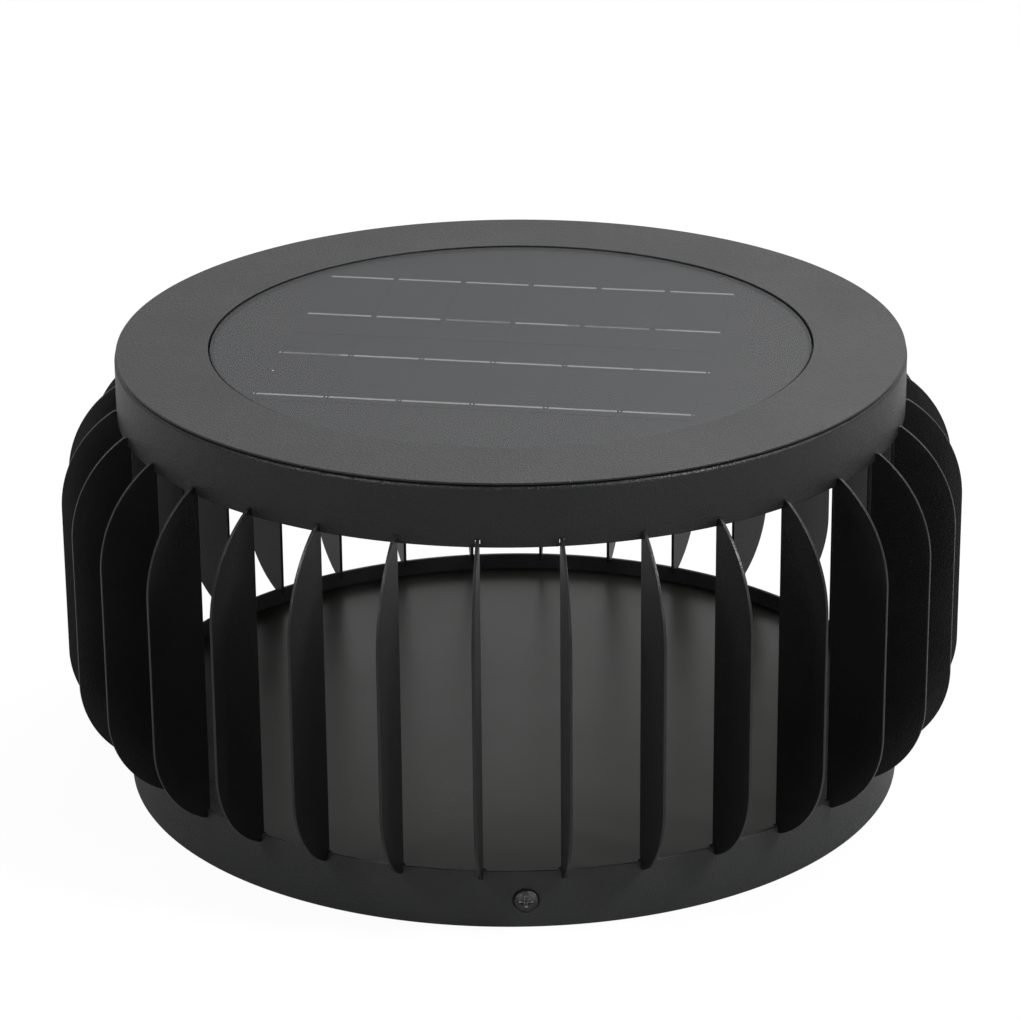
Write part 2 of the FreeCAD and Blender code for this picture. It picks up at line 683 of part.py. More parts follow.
def make_board_posts():
    """Four posts under the controller board."""
    body = new_body("board_posts")
    sketch = new_sketch(body, "XY_Plane", ("0", "-circuit_inner", "under_top"))
    for side in (-1, 1):
        for near in ("post_radius + 1", "circuit_width - post_radius - 1"):
            disc_outline(sketch, f"{side} * (circuit_length / 2 - post_radius - 1)", f"-({near})",
                         "post_radius")
    pad(body, sketch, "circuit_lift")
    return body


def make_controller_parts():
    """The larger parts on the controller board: two connectors, a chip, a coil and a capacitor."""
    body = new_body("controller_parts")
    place = ("0", "-circuit_inner", "circuit_top")
    plugs = new_sketch(body, "XY_Plane", place)
    for side in (-1, 1):
        left = f"{side} * 11 - 6.5"
        box_outline(plugs, left, "-6", f"{left} + 13", "0")
    pad(body, plugs, "plug_height")
    chip = new_sketch(body, "XY_Plane", place)
    pad(body, box_outline(chip, "-7", "-18", "3", "-10"), "2")
    coil = new_sketch(body, "XY_Plane", place)
    pad(body, disc_outline(coil, "12", "-15", "5"), "5")
    capacitor = new_sketch(body, "XY_Plane", place)
    pad(body, disc_outline(capacitor, "-16", "-15", "4"), "8")
    return body


def make_switch_body():
    """Threaded barrel with a flange below the underplate and two terminals on top."""
    body = new_body("switch_body")
    sketch = new_sketch(body, "XZ_Plane", ("switch_ring", "0", "0"))
    outline(sketch, [
        ("button_radius + button_gap", "switch_low"),
        ("switch_radius + switch_flange", "switch_low"),
        ("switch_radius + switch_flange", "under_low"),
        ("switch_radius", "under_low"),
        ("switch_radius", "switch_top"),
        ("0", "switch_top"),
        ("0", "collar_low + 3 * button_travel + 1"),
        ("button_radius + button_collar + button_gap", "collar_low + 3 * button_travel + 1"),
        ("button_radius + button_collar + button_gap", "switch_low + switch_lip"),
        ("button_radius + button_gap", "switch_low + switch_lip"),
    ])
    revolve(body, sketch)
    terminals = new_sketch(body, "XY_Plane", ("switch_ring", "0", "switch_top"))
    for side in (-1, 1):
        box_outline(terminals, f"{side} * 2.5 - 0.4", "-1.4", f"{side} * 2.5 + 0.4", "1.4")
    pad(body, terminals, "terminal_height")
    return body


def make_switch_nut():
    """Hexagon nut that clamps the switch in the underplate."""
    body = new_body("switch_nut")
    sketch = new_sketch(body, "XY_Plane", ("switch_ring", "0", "under_top"))
    hexagon(sketch, "0", "0", "switch_nut_flat")
    disc_outline(sketch, "0", "0", "switch_radius")
    pad(body, sketch, "switch_nut_thick")
    return body


def make_switch_button():
    """Push button: its collar is kept in by the barrel's lip, and it travels upwards."""
    body = new_body("switch_button")
    sketch = new_sketch(body, "XZ_Plane", ("switch_ring", "0", "0"))
    outline(sketch, [
        ("0", "button_low"),
        ("button_radius", "button_low + 0.4"),
        ("button_radius", "collar_low"),
        ("button_radius + button_collar", "collar_low"),
        ("button_radius + button_collar", "collar_low + 1"),
        ("0", "collar_low + 1"),
    ], {0: "button_radius * 5"})
    revolve(body, sketch)
    return body


# ---------------------------------------------------------------- leads
def round_path(points):
    """Straight runs joined by tangent arcs, each as large as its two runs allow."""
    edges = []
    at = points[0]
    for before, corner, after in zip(points, points[1:], points[2:]):
        into = (corner - before).normalize()
        away = (after - corner).normalize()
        turn = into.getAngle(away)
        cut = 0.45 * min((corner - before).Length, (after - corner).Length)
        radius = cut / math.tan(turn / 2)
        start = corner - into * cut
        end = corner + away * cut
        inward = (away - into).normalize()
        middle = corner + inward * (radius / math.cos(turn / 2) - radius)
        edges.append(Part.LineSegment(at, start).toShape())
        edges.append(Part.Arc(start, middle, end).toShape())
        at = end
    edges.append(Part.LineSegment(at, points[-1]).toShape())
    return Part.Wire(edges)


def make_wiring():
    """Five leads from the controller to the switch, the two cells, the panel and the LED board."""
    inner = value("circuit_inner")
    height = value("lead_height")
    ring_one = value("lead_ring")
    pitch = value("lead_pitch")
    radius = value("lead_radius")

    def around(ring_radius, azimuth, z=height):
        angle = math.radians(azimuth)
        return V(ring_radius * math.sin(angle), -ring_radius * math.cos(angle), z)

    def sweep_round(ring_radius, first, last, step):
        return [around(ring_radius, azimuth) for azimuth in range(first, last, step)]

    ring_two = ring_one + pitch
    ring_three = ring_two + pitch
    switch_face = value("switch_ring - 2.9")
    terminal = value("switch_top + terminal_height / 2")
    holder_face = value("battery_ring - battery_radius - holder_gap - holder_wall - lead_gap")
    cell_turn = value("180 - battery_spread / 2")
    panel = value("board_low")
    board = value("led_board_low + led_board_thick + lead_gap")
    rise = value("standoff_ring - standoff_radius - 3")

    routes = [
        [V(14, -inner, height), V(14, -ring_three, height)]
        + sweep_round(ring_three, 25, 80, 18)
        + [around(ring_three, 88, height + 1), around(ring_three + 3, 90, terminal),
           V(switch_face, 0, terminal)],
        [V(10, -inner, height), V(10, -ring_two, height)]
        + sweep_round(ring_two, 22, 150, 18)
        + [around(ring_two, cell_turn), around(holder_face, cell_turn)],
        [V(-10, -inner, height), V(-10, -ring_two, height)]
        + sweep_round(ring_two, -22, -150, -18)
        + [around(ring_two, -cell_turn), around(holder_face, -cell_turn)],
        [V(-14, -inner, height), V(-14, -ring_three, height)]
        + sweep_round(ring_three, -25, -50, -18)
        + [around(rise, -56, height + 1), around(rise, -60, panel - 3), around(rise, -60, panel)],
        [V(-6, -inner, height), V(-6, -ring_one, height)]
        + [around(ring_one, -16), around(ring_one - 4, -24, height + 2),
           around(ring_one - 12, -30, board + 4), around(ring_one - 15, -32, board + 3),
           around(ring_one - 15, -32, board)],
    ]
    leads = []
    for route in routes:
        path = round_path(route)
        direction = (route[1] - route[0]).normalize()
        section = Part.Wire([Part.Circle(route[0], direction, radius).toShape()])
        lead = path.makePipeShell([section], True, False, 2)
        expected = math.pi * radius ** 2 * path.Length
        assert abs(lead.Volume - expected) < 0.02 * expected, "a lead has the wrong volume"
        leads.append(lead)
    wiring = doc.addObject("Part::Feature", "wiring")
    wiring.Shape = Part.makeCompound(leads)
    return wiring


# ---------------------------------------------------------------- build, check and write
parts = [make_mounting_plate(), make_base_drum(), make_floor_plate(), make_side_screws(), make_side_nuts()]
parts += [make_fin(number) for number in range(int(value("fin_count")))]
parts += [
    make_cap_shell(),
    ring("panel_gasket", "ledge_inner + 0.5", "panel_radius", "ledge_top", "board_low"),
    ring("panel_backboard", "0", "panel_radius", "board_low", "board_top"),
    make_solar_cells(),
    make_cell_ribbons(),
    make_panel_cover(),
    make_underplate(),
    make_underplate_standoffs(),
    make_underplate_screws(),
    ring("led_board", "0", "led_board_radius", "led_board_low", "led_board_low + led_board_thick"),
    make_leds(),
    make_led_spacers(),
    make_diffuser(),
    ring("diffuser_gasket", "light_radius + 0.5", "flange_radius", "under_top", "flange_low"),
    make_battery_cells(),
    make_battery_holder(),
    make_controller_board(),
    make_board_posts(),
    make_controller_parts(),
    make_switch_body(),
    make_switch_nut(),
    make_switch_button(),
    make_wiring(),
]
doc.recompute()

failed = [item.Label for item in doc.Objects if "Invalid" in item.State or "Error" in item.State]
assert not failed, "failed objects: " + ", ".join(failed)
for part in parts:
    part.Label = part.Name
    assert not part.Shape.isNull() and part.Shape.isValid(), "bad shape: " + part.Label

os.makedirs("parts", exist_ok=True)
for part in parts:
    part.Shape.exportStep(f"parts/{part.Label}.step")
    print(f"{part.Label}: {len(part.Shape.Solids)} solids, {part.Shape.Volume:.1f} mm3")
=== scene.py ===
import bpy
import math
import random
from mathutils import Matrix, Vector


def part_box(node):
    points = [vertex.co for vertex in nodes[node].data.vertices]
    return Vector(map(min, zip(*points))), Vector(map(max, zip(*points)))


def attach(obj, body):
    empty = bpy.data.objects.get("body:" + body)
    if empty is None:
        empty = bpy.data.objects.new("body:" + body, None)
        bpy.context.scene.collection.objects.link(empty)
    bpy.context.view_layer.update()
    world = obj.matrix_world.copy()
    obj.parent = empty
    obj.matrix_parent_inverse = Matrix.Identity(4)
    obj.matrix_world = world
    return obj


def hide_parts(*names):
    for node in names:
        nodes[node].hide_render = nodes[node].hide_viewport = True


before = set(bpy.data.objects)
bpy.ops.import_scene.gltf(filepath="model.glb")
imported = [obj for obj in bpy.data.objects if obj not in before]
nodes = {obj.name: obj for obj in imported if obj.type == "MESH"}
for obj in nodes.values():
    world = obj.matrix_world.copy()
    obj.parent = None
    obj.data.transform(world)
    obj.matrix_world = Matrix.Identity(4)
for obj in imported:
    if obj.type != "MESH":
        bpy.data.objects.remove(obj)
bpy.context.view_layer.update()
print("frame loaded:", len(nodes), "nodes")

mm = 0.001


# places read from the frame
capLow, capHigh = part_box("cap_shell")
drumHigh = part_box("base_drum")[1]
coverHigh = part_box("panel_cover")[1]
drumRadius = capHigh.y
finNames = sorted(name for name in nodes if name.startswith("fin_"))
finHalf = 0.6 * mm
screwAzimuths = (0, 120, 240)
screwHeight = 10.5 * mm


def azimuthOf(name):
    # degrees about +Z from -Y towards +X
    spots = [vertex.co for vertex in nodes[name].data.vertices]
    middle = sum(spots, Vector()) / len(spots)
    return math.degrees(math.atan2(middle.x, -middle.y))


finAzimuths = sorted(azimuthOf(name) for name in finNames)


def addCamera():
    view = {"azimuth": -1.5, "elevation": 23.22, "distance": 1.5826, "aim": 0.060,
            "pan": 0.04, "tilt": 1.42, "roll": 0.47, "lens": 143.23}
    rise = math.radians(view["elevation"])
    forward = Vector((0, math.cos(rise), -math.sin(rise)))
    right = Vector((1, 0, 0))
    up = right.cross(forward)
    place = -forward * view["distance"] + Vector((0, 0, view["aim"]))
    for axis, angle in ((up, view["pan"]), (right, view["tilt"]), (forward, view["roll"])):
        turn = Matrix.Rotation(math.radians(angle), 3, axis)
        forward, right, up = turn @ forward, turn @ right, turn @ up
    facing = Matrix((right, up, -forward)).transposed().to_4x4()
    facing.translation = place
    data = bpy.data.cameras.new("studioCamera")
    data.lens = view["lens"]
    data.sensor_width = 36
    camera = bpy.data.objects.new("studioCamera", data)
    camera.matrix_world = Matrix.Rotation(math.radians(view["azimuth"]), 4, "Z") @ facing
    bpy.context.scene.collection.objects.link(camera)
    bpy.context.scene.camera = camera


def addSoftbox(name, azimuth, elevation, distance, size, power, aim=(0, 0, 0.1)):
    # a lamp that faces the aim point, at an azimuth in degrees from -Y towards +X
    turn = math.radians(azimuth)
    rise = math.radians(elevation)
    across = math.cos(rise) * distance
    reach = Vector((across * math.sin(turn), -across * math.cos(turn), math.sin(rise) * distance))
    place = reach + Vector(aim)
    data = bpy.data.lights.new(name, "AREA")
    data.shape = "RECTANGLE"
    data.size, data.size_y = size
    data.energy = power
    light = bpy.data.objects.new(name, data)
    light.location = place
    light.rotation_euler = (place - Vector(aim)).to_track_quat("Z", "Y").to_euler()
    bpy.context.scene.collection.objects.link(light)


def link(tree, start, startSocket, end, endSocket):
    tree.links.new(start.outputs[startSocket], end.inputs[endSocket])


def addStudio():
    studio = {"floorSize": 14, "floorDrop": 0.0002, "backdrop": 1.02, "front": 0.27, "behind": 1.0,
              "zenith": 0.55, "left": 0.74, "right": 1.12}
    # the object sees a soft room, the camera sees plain white
    world = bpy.data.worlds.new("studioWorld")
    bpy.context.scene.world = world
    world.use_nodes = True
    tree = world.node_tree
    tree.nodes.clear()
    coords = tree.nodes.new("ShaderNodeTexCoord")
    split = tree.nodes.new("ShaderNodeSeparateXYZ")
    link(tree, coords, "Generated", split, "Vector")
    depth = tree.nodes.new("ShaderNodeMapRange")  # dim in front, bright behind
    depth.interpolation_type = "SMOOTHSTEP"
    depth.inputs["From Min"].default_value = -0.6
    depth.inputs["From Max"].default_value = 0.5
    depth.inputs["To Min"].default_value = studio["front"]
    depth.inputs["To Max"].default_value = studio["behind"]
    link(tree, split, "Y", depth, "Value")
    height = tree.nodes.new("ShaderNodeMapRange")  # the room is dimmer straight up
    height.inputs["From Min"].default_value = 0.5
    height.inputs["From Max"].default_value = 1.0
    height.inputs["To Min"].default_value = 1.0
    height.inputs["To Max"].default_value = studio["zenith"]
    link(tree, split, "Z", height, "Value")
    product = tree.nodes.new("ShaderNodeMath")
    product.operation = "MULTIPLY"
    link(tree, depth, "Result", product, 0)
    link(tree, height, "Result", product, 1)
    side = tree.nodes.new("ShaderNodeMapRange")  # the window is on the right
    side.inputs["From Min"].default_value = -1.0
    side.inputs["To Min"].default_value = studio["left"]
    side.inputs["To Max"].default_value = studio["right"]
    link(tree, split, "X", side, "Value")
    whole = tree.nodes.new("ShaderNodeMath")
    whole.operation = "MULTIPLY"
    link(tree, product, "Value", whole, 0)
    link(tree, side, "Result", whole, 1)
    room = tree.nodes.new("ShaderNodeBackground")
    link(tree, whole, "Value", room, "Strength")
    plain = tree.nodes.new("ShaderNodeBackground")
    plain.inputs["Color"].default_value = (1, 1, 1, 1)
    plain.inputs["Strength"].default_value = studio["backdrop"]
    path = tree.nodes.new("ShaderNodeLightPath")
    mix = tree.nodes.new("ShaderNodeMixShader")
    link(tree, path, "Is Camera Ray", mix, "Fac")
    tree.links.new(room.outputs[0], mix.inputs[1])
    tree.links.new(plain.outputs[0], mix.inputs[2])
    output = tree.nodes.new("ShaderNodeOutputWorld")
    tree.links.new(mix.outputs[0], output.inputs["Surface"])

    mesh = bpy.data.meshes.new("studioFloor")
    half = studio["floorSize"] / 2
    corners = [(-half, -half, 0), (half, -half, 0), (half, half, 0), (-half, half, 0)]
    mesh.from_pydata(corners, [], [(0, 1, 2, 3)])
    floor = bpy.data.objects.new("studioFloor", mesh)
    bpy.context.scene.collection.objects.link(floor)
    floor.location.z = -studio["floorDrop"]
    mesh.materials.append(studioPaper())
    addSoftbox("softboxLeft", -56, 44, 1.6, (0.30, 0.40), 9)
    addSoftbox("softboxRight", 58, 44, 1.6, (0.30, 0.40), 18)
    addSoftbox("softboxFront", 6, 15, 2.0, (0.5, 0.3), 2)
    addSoftbox("edgeLeft", -42, 16, 2.0, (0.12, 0.22), 4)
    addSoftbox("edgeRight", 42, 16, 2.0, (0.12, 0.22), 4.5)
    addSoftbox("softboxTop", 140, 58, 1.5, (1.3, 1.0), 16)


def newGroup(name, inputs, outputs):
    group = bpy.data.node_groups.new(name, "ShaderNodeTree")
    for socket, kind, value in inputs:
        made = group.interface.new_socket(name=socket, in_out="INPUT", socket_type=kind)
        if value is not None:
            made.default_value = value
    for socket, kind in outputs:
        group.interface.new_socket(name=socket, in_out="OUTPUT", socket_type=kind)
    return group, group.nodes.new("NodeGroupInput"), group.nodes.new("NodeGroupOutput")


def makeCoatGrain():
    # fine pebbled skin of a powder coat, and a slow drift of its tone from patch to patch
    group, given, result = newGroup("coatGrain", [
        ("Size", "NodeSocketFloat", 1400.0),
        ("Patch", "NodeSocketFloat", 60.0),
    ], [("Height", "NodeSocketFloat"), ("Drift", "NodeSocketFloat")])
    coords = group.nodes.new("ShaderNodeTexCoord")
    pebbles = group.nodes.new("ShaderNodeTexNoise")
    pebbles.inputs["Detail"].default_value = 2.0
    pebbles.inputs["Roughness"].default_value = 0.55
    link(group, coords, "Object", pebbles, "Vector")
    link(group, given, "Size", pebbles, "Scale")
    cells = group.nodes.new("ShaderNodeTexVoronoi")
    cells.inputs["Randomness"].default_value = 1.0
    link(group, coords, "Object", cells, "Vector")
    link(group, given, "Size", cells, "Scale")
    domes = group.nodes.new("ShaderNodeMapRange")
    domes.inputs["From Min"].default_value = 0.1
    domes.inputs["From Max"].default_value = 0.6
    domes.inputs["To Min"].default_value = 1.0
    domes.inputs["To Max"].default_value = 0.0
    link(group, cells, "Distance", domes, "Value")
    both = group.nodes.new("ShaderNodeMath")
    both.operation = "MULTIPLY_ADD"
    both.inputs[1].default_value = 0.6
    link(group, domes, "Result", both, 0)
    link(group, pebbles, "Fac", both, 2)
    link(group, both, "Value", result, "Height")
    drift = group.nodes.new("ShaderNodeTexNoise")
    drift.inputs["Detail"].default_value = 3.0
    link(group, coords, "Object", drift, "Vector")
    link(group, given, "Patch", drift, "Scale")
    link(group, drift, "Fac", result, "Drift")
    return group


def makeBrushLines():
    # fine lines along X, as on rolled or brushed sheet
    group, given, result = newGroup("brushLines", [
        ("Size", "NodeSocketFloat", 900.0),
        ("Stretch", "NodeSocketFloat", 0.04),
    ], [("Height", "NodeSocketFloat"), ("Tone", "NodeSocketFloat")])
    coords = group.nodes.new("ShaderNodeTexCoord")
    stretch = group.nodes.new("ShaderNodeCombineXYZ")
    stretch.inputs["Y"].default_value = 1.0
    stretch.inputs["Z"].default_value = 1.0
    link(group, given, "Stretch", stretch, "X")
    scale = group.nodes.new("ShaderNodeVectorMath")
    scale.operation = "MULTIPLY"
    link(group, coords, "Object", scale, 0)
    link(group, stretch, "Vector", scale, 1)
    lines = group.nodes.new("ShaderNodeTexNoise")
    lines.inputs["Detail"].default_value = 2.0
    link(group, scale, "Vector", lines, "Vector")
    link(group, given, "Size", lines, "Scale")
    link(group, lines, "Fac", result, "Height")
    tone = group.nodes.new("ShaderNodeTexNoise")
    tone.inputs["Scale"].default_value = 30.0
    link(group, coords, "Object", tone, "Vector")
    link(group, tone, "Fac", result, "Tone")
    return group


def newFinish(name, roughness=0.5, metallic=0.0, ior=1.5):
    made = bpy.data.materials.new(name)
    made.use_nodes = True
    shader = made.node_tree.nodes["Principled BSDF"]
    shader.inputs["Roughness"].default_value = roughness
    shader.inputs["Metallic"].default_value = metallic
    shader.inputs["IOR"].default_value = ior
    return made, made.node_tree, shader


def placeGroup(tree, group, values):
    node = tree.nodes.new("ShaderNodeGroup")
    node.node_tree = group
    for name, value in values.items():
        node.inputs[name].default_value = value
    return node


def varyColor(tree, source, socket, shader, dark, light):
    ramp = tree.nodes.new("ShaderNodeMix")
    ramp.data_type = "RGBA"
    ramp.inputs["A"].default_value = (*dark, 1)
    ramp.inputs["B"].default_value = (*light, 1)
    tree.links.new(source.outputs[socket], ramp.inputs["Factor"])
    tree.links.new(ramp.outputs["Result"], shader.inputs["Base Color"])


def varyRoughness(tree, source, socket, shader, low, high):
    span = tree.nodes.new("ShaderNodeMapRange")
    span.inputs["From Min"].default_value = 0.3
    span.inputs["From Max"].default_value = 0.7
    span.inputs["To Min"].default_value = low
    span.inputs["To Max"].default_value = high
    tree.links.new(source.outputs[socket], span.inputs["Value"])
    tree.links.new(span.outputs["Result"], shader.inputs["Roughness"])


def addBump(tree, source, socket, shader, strength, distance):
    bump = tree.nodes.new("ShaderNodeBump")
    bump.inputs["Strength"].default_value = strength
    bump.inputs["Distance"].default_value = distance
    tree.links.new(source.outputs[socket], bump.inputs["Height"])
    tree.links.new(bump.outputs["Normal"], shader.inputs["Normal"])


def coatedSteel(name, dark, light, low, high, size, strength, distance, ior):
    made, tree, shader = newFinish(name, ior=ior)
    grain = placeGroup(tree, coatGrain, {"Size": size, "Patch": 26.0})
    varyColor(tree, grain, "Drift", shader, dark, light)
    varyRoughness(tree, grain, "Drift", shader, low, high)
    addBump(tree, grain, "Height", shader, strength, distance)
    return made


def studioPaper():
    # the camera sees even white with a faint trace of shade, the object sees a grey table
    paper = {"white": 1.0, "shade": 0.06, "table": 0.40}
    made, tree, shader = newFinish("studioPaper", roughness=0.9, ior=1.3)
    shader.inputs["Base Color"].default_value = (paper["table"], paper["table"], paper["table"], 1)
    glow = tree.nodes.new("ShaderNodeEmission")
    glow.inputs["Strength"].default_value = paper["white"]
    matt = tree.nodes.new("ShaderNodeBsdfDiffuse")
    matt.inputs["Color"].default_value = (1, 1, 1, 1)
    seen = tree.nodes.new("ShaderNodeMixShader")
    seen.inputs["Fac"].default_value = paper["shade"]
    tree.links.new(glow.outputs[0], seen.inputs[1])
    tree.links.new(matt.outputs[0], seen.inputs[2])
    path = tree.nodes.new("ShaderNodeLightPath")
    choose = tree.nodes.new("ShaderNodeMixShader")
    link(tree, path, "Is Camera Ray", choose, "Fac")
    tree.links.new(shader.outputs[0], choose.inputs[1])
    tree.links.new(seen.outputs[0], choose.inputs[2])
    tree.links.new(choose.outputs[0], tree.nodes["Material Output"].inputs["Surface"])
    return made


def plainFinish(name, dark, light, low, high, size=900.0, strength=0.15, distance=0.00005, metallic=0.0):
    made, tree, shader = newFinish(name, metallic=metallic)
    grain = placeGroup(tree, coatGrain, {"Size": size, "Patch": 40.0})
    varyColor(tree, grain, "Drift", shader, dark, light)
    varyRoughness(tree, grain, "Drift", shader, low, high)
    addBump(tree, grain, "Height", shader, strength, distance)
    return made


def metalSheet(name, dark, light, low, high):
    made, tree, shader = newFinish(name, metallic=1.0)
    lines = placeGroup(tree, brushLines, {"Size": 900.0, "Stretch": 0.05})
    varyColor(tree, lines, "Tone", shader, dark, light)
    varyRoughness(tree, lines, "Tone", shader, low, high)
    addBump(tree, lines, "Height", shader, 0.2, 0.00003)
    return made


coatGrain = makeCoatGrain()
brushLines = makeBrushLines()


def panelFilm():
    # satin film, clear enough for the tinned ribbons to show through
    film = {"dark": (0.040, 0.041, 0.0435), "light": (0.052, 0.0532, 0.0560), "cover": 0.44, "ior": 1.5,
            "smooth": 0.40, "rough": 0.50, "grain": 900, "patch": 18}
    made, tree, shader = newFinish("panelFilm", ior=film["ior"])
    shader.inputs["Alpha"].default_value = film["cover"]
    grain = placeGroup(tree, coatGrain, {"Size": film["grain"], "Patch": film["patch"]})
    varyColor(tree, grain, "Drift", shader, film["dark"], film["light"])
    varyRoughness(tree, grain, "Drift", shader, film["smooth"], film["rough"])
    return made


finishes = {
    "drumCoat": coatedSteel("drumCoat", (0.0062, 0.0065, 0.0069), (0.0098, 0.0102, 0.0107), 0.34, 0.42,
                            1300, 0.8, 0.0002, 1.38),
    # the base's coat is a lighter copy of the drum coat: painted light for the brighter floor reflection on
    # the base and for light on its shaded inner wall
    "baseCoatPaintedLight": coatedSteel("baseCoatPaintedLight", (0.016, 0.0166, 0.0173), (0.0215, 0.0223, 0.0232), 0.40, 0.48,
                            1300, 0.7, 0.00018, 1.42),
    "finCoat": coatedSteel("finCoat", (0.0075, 0.0075, 0.0079), (0.0105, 0.0105, 0.011), 0.30, 0.38,
                           1300, 0.5, 0.0001, 1.4),
    "floorCoat": coatedSteel("floorCoat", (0.010, 0.0092, 0.0080), (0.013, 0.0121, 0.0108), 0.27, 0.33,
                             1200, 0.05, 0.00005, 1.385),
    "panelFilm": panelFilm(),
    "screwZinc": plainFinish("screwZinc", (0.03, 0.03, 0.031), (0.14, 0.14, 0.143), 0.22, 0.34,
                             2200, 0.5, 0.0002, metallic=1.0),
    # bright metal for the screws' cross recesses: a painted glint
    "glintMetal": plainFinish("glintMetal", (0.6, 0.6, 0.6), (0.85, 0.85, 0.86), 0.25, 0.4,
                             2600, 0.6, 0.0002, metallic=1.0),
    "brightZinc": plainFinish("brightZinc", (0.55, 0.56, 0.58), (0.68, 0.69, 0.72), 0.2, 0.35,
                              metallic=1.0),
    "zincSheet": metalSheet("zincSheet", (0.45, 0.46, 0.48), (0.62, 0.63, 0.66), 0.3, 0.45),
    "foamSeal": plainFinish("foamSeal", (0.010, 0.010, 0.010), (0.022, 0.022, 0.022), 0.8, 0.95,
                            2200, 0.6, 0.0001),
    "blackBoard": plainFinish("blackBoard", (0.004, 0.005, 0.008), (0.007, 0.009, 0.014), 0.3, 0.35,
                              strength=0.02),
    "greenMask": plainFinish("greenMask", (0.006, 0.05, 0.02), (0.01, 0.08, 0.03), 0.3, 0.4),
    "whiteMask": plainFinish("whiteMask", (0.72, 0.73, 0.73), (0.8, 0.8, 0.79), 0.35, 0.45),
    "siliconCell": plainFinish("siliconCell", (0.004, 0.005, 0.008), (0.007, 0.009, 0.014), 0.3, 0.35,
                               strength=0.02),
    "tinRibbon": plainFinish("tinRibbon", (0.86, 0.87, 0.88), (0.95, 0.95, 0.95), 0.5, 0.6, strength=0.02),
    "phosphor": plainFinish("phosphor", (0.75, 0.5, 0.12), (0.85, 0.6, 0.2), 0.3, 0.4),
    "nylonNatural": plainFinish("nylonNatural", (0.68, 0.66, 0.6), (0.76, 0.74, 0.68), 0.4, 0.5),
    "opalSheet": plainFinish("opalSheet", (0.82, 0.77, 0.66), (0.88, 0.83, 0.72), 0.35, 0.42),
    "cellSleeve": plainFinish("cellSleeve", (0.02, 0.09, 0.25), (0.03, 0.12, 0.32), 0.25, 0.35),
    "blackMoulding": plainFinish("blackMoulding", (0.012, 0.012, 0.012), (0.02, 0.02, 0.02), 0.4, 0.5),
    "partBlack": plainFinish("partBlack", (0.015, 0.015, 0.016), (0.03, 0.03, 0.03), 0.4, 0.55),
    "softButton": plainFinish("softButton", (0.03, 0.03, 0.032), (0.045, 0.045, 0.047), 0.55, 0.65),
    "leadSleeve": plainFinish("leadSleeve", (0.28, 0.012, 0.01), (0.36, 0.02, 0.016), 0.35, 0.45),
}
print("finishes made:", len(finishes))

finishOf = {
    "mounting_plate": "zincSheet", "base_drum": "drumCoat", "floor_plate": "floorCoat",
    "side_screws": "screwZinc", "side_nuts": "brightZinc", "cap_shell": "drumCoat",
    "panel_gasket": "foamSeal", "panel_backboard": "blackBoard", "solar_cells": "siliconCell",
    "cell_ribbons": "tinRibbon", "panel_cover": "panelFilm", "underplate": "drumCoat",
    "underplate_standoffs": "brightZinc", "underplate_screws": "screwZinc",
    "led_board": "whiteMask", "leds": "phosphor", "led_spacers": "nylonNatural",
    "diffuser": "opalSheet", "diffuser_gasket": "foamSeal", "battery_cells": "cellSleeve",
    "battery_holder": "blackMoulding", "controller_board": "greenMask",
    "board_posts": "nylonNatural", "controller_parts": "partBlack", "switch_body": "blackMoulding",
    "switch_nut": "brightZinc", "switch_button": "softButton", "wiring": "leadSleeve",
}


def roundedProfile(corners, steps=4):
    # a closed section of (radius, height, rounding) corners as points, each corner a short arc
    points = []
    for index, (radius, height, rounding) in enumerate(corners):
        here = Vector((radius, height))
        if rounding == 0:
            points.append(here)
            continue
        before = Vector(corners[index - 1][:2]) - here
        after = Vector(corners[(index + 1) % len(corners)][:2]) - here
        before.normalize()
        after.normalize()
        half = before.angle(after) / 2
        centre = here + (before + after).normalized() * rounding / math.sin(half)
        start = here + before * rounding / math.tan(half) - centre
        sweep = math.copysign(math.pi - 2 * half, start.cross(here - centre))
        for step in range(steps + 1):
            points.append(centre + Matrix.Rotation(sweep * step / steps, 2) @ start)
    return points


def nearest(profile, radius, height):
    # index of the profile's point at a place
    return min(range(len(profile)), key=lambda index: (profile[index] - Vector((radius, height))).length)


def latheShell(name, profile, stations, isSlot, cut, dent=None):
    # turns a closed section round Z; in a slot the run of points from cut[0] to cut[1] is left out
    vertices, faces = [], []
    count = len(profile)
    for azimuth in stations:
        angle = math.radians(azimuth)
        for radius, height in profile:
            reach = radius - (dent(azimuth, height) if dent else 0)
            vertices.append((reach * math.sin(angle), -reach * math.cos(angle), height))
    columns = len(stations)
    run = list(range(cut[0], cut[1] + 1))
    for column in range(columns):
        here, there = column * count, (column + 1) % columns * count
        slotted = isSlot(column)
        for index in range(count):
            following = (index + 1) % count
            if slotted and index in run[:-1]:
                continue
            faces.append((here + index, there + index, there + following, here + following))
        if slotted:
            faces.append((here + cut[0], there + cut[0], there + cut[1], here + cut[1]))
            faces.append([here + index for index in run])
            faces.append([there + index for index in reversed(run)])
    mesh = bpy.data.meshes.new(name)
    mesh.from_pydata(vertices, [], faces)
    mesh.validate()
    mesh.shade_smooth()
    mesh.set_sharp_from_angle(angle=math.radians(40))
    piece = bpy.data.objects.new(name, mesh)
    bpy.context.scene.collection.objects.link(piece)
    even = piece.modifiers.new("evenNormals", "WEIGHTED_NORMAL")
    even.keep_sharp = True
    even.weight = 100
    return piece


